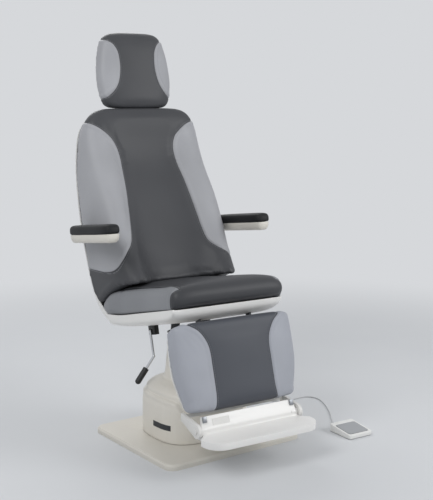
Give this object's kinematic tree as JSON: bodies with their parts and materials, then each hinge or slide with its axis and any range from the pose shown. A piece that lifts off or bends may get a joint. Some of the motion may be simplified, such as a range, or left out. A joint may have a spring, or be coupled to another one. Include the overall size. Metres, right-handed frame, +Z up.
{
  "type": "ophthalmic examination chair",
  "caption": "Examination chair on a swivelling lift column, with a tilting bucket seat, headrest, flip-up armrests, leg rest, folding footrest and a corded foot switch.",
  "frame": {"origin": "where the lift and swivel axis meets the floor, the centre of the base plate's underside", "axes": "+Z up along the lift axis; the chair faces -Y; +X is the right-hand side of someone who faces the chair"},
  "size_m": [1.0013, 1.0076, 1.4833],
  "materials": {
    "plate_paint": "satin warm grey powder coat",
    "base_plastic": "satin warm white moulding",
    "shell_plastic": "semi-gloss white moulding",
    "dark_plastic": "fine-textured black moulding",
    "grey_plastic": "fine-textured grey moulding",
    "switch_plastic": "matt off-white moulding",
    "bush_plastic": "plain bearing plastic",
    "frame_paint": "satin dark grey paint",
    "steel": "turned steel",
    "chrome": "bright chrome",
    "dark_vinyl": "grained soft vinyl, charcoal",
    "seat_vinyl": "grained soft vinyl, charcoal with lighter side panels",
    "arm_vinyl": "soft black skin foam",
    "board": "raw plywood",
    "rubber": "matt black rubber",
    "cord_jacket": "smooth light grey jacket"
  },
  "bodies": {
    "base": {"base_plate": "plate_paint", "base_cover": "base_plastic", "fixed_column": "steel", "flange_bolts_set": "steel", "upper_bush": "bush_plastic", "lift_motor": "frame_paint", "actuator_tube": "steel", "control_box": "dark_plastic", "mains_inlet": "dark_plastic", "cord_gland": "grey_plastic", "switch_body": "switch_plastic", "switch_feet": "rubber", "switch_gland": "grey_plastic", "cord_base_run": "cord_jacket", "cord_coil": "cord_jacket", "cord_switch_run": "cord_jacket"},
    "lift": {"moving_column": "steel", "lower_bush": "bush_plastic", "actuator_rod": "chrome", "column_head": "steel", "spindle_nut": "steel"},
    "swivel": {"thrust_washer": "bush_plastic", "swivel_yoke": "frame_paint", "head_cover": "shell_plastic", "tilt_shaft": "steel"},
    "seat": {"seat_frame": "frame_paint", "seat_board": "board", "seat_pan": "shell_plastic", "back_shell": "shell_plastic", "seat_cushion": "seat_vinyl", "back_cushion": "dark_vinyl", "headrest_guides": "frame_paint", "armrest_bracket_left": "steel", "armrest_bracket_right": "steel", "brake_block": "dark_plastic", "leg_shaft": "steel"},
    "lever": {"lever_rod": "chrome", "lever_grip": "dark_plastic"},
    "headrest_slide": {"headrest_posts": "chrome"},
    "headrest": {"headrest_shell": "shell_plastic", "headrest_cushion": "dark_vinyl"},
    "armrest_left": {"armrest_body_left": "shell_plastic", "armrest_pad_left": "arm_vinyl"},
    "armrest_right": {"armrest_body_right": "shell_plastic", "armrest_pad_right": "arm_vinyl"},
    "leg_rest": {"leg_frame": "frame_paint", "leg_tray": "shell_plastic", "leg_cushion": "dark_vinyl", "footrest_bracket": "shell_plastic", "footrest_pins": "steel"},
    "foot_rest": {"footrest": "shell_plastic", "footrest_latches": "grey_plastic"},
    "rocker": {"switch_rocker": "grey_plastic"}
  },
  "joints": [
    {"name": "lift_travel", "type": "slide", "parent": "base", "child": "lift", "axis": [0, 0, 1], "range_m": [0, 0.2]},
    {"name": "swivel_turn", "type": "hinge", "parent": "lift", "child": "swivel", "pos_m": [0, 0, 0.38], "axis": [0, 0, 1], "range_deg": [-175, 175]},
    {"name": "seat_tilt", "type": "hinge", "parent": "swivel", "child": "seat", "pos_m": [0, 0.04, 0.44], "axis": [-1, 0, 0], "range_deg": [0, 40]},
    {"name": "lever_turn", "type": "hinge", "parent": "seat", "child": "lever", "pos_m": [-0.13, 0.096, 0.392], "axis": [-1, 0, 0], "range_deg": [0, 12]},
    {"name": "headrest_travel", "type": "slide", "parent": "seat", "child": "headrest_slide", "axis": [0, 0.1045, 0.9945], "range_m": [0, 0.12]},
    {"name": "headrest_tilt", "type": "hinge", "parent": "headrest_slide", "child": "headrest", "pos_m": [0, 0.49246, 1.28587], "axis": [-1, 0, 0], "range_deg": [0, 12]},
    {"name": "armrest_left_lift", "type": "hinge", "parent": "seat", "child": "armrest_left", "pos_m": [-0.317, 0.318, 0.718], "axis": [-1, 0, 0], "range_deg": [0, 85]},
    {"name": "armrest_right_lift", "type": "hinge", "parent": "seat", "child": "armrest_right", "pos_m": [0.317, 0.318, 0.718], "axis": [-1, 0, 0], "range_deg": [0, 85]},
    {"name": "leg_rest_lift", "type": "hinge", "parent": "seat", "child": "leg_rest", "pos_m": [0, -0.19, 0.453], "axis": [-1, 0, 0], "range_deg": [0, 16]},
    {"name": "footrest_fold", "type": "hinge", "parent": "leg_rest", "child": "foot_rest", "pos_m": [0, -0.342, 0.15], "axis": [-1, 0, 0], "range_deg": [0, 70]},
    {"name": "rocker_press", "type": "hinge", "parent": "base", "child": "rocker", "pos_m": [0.492, -0.30242, 0.01733], "axis": [0, 0.9933, 0.1159], "range_deg": [-2, 2], "stiffness_Nm_per_rad": 0.8}
  ]
}
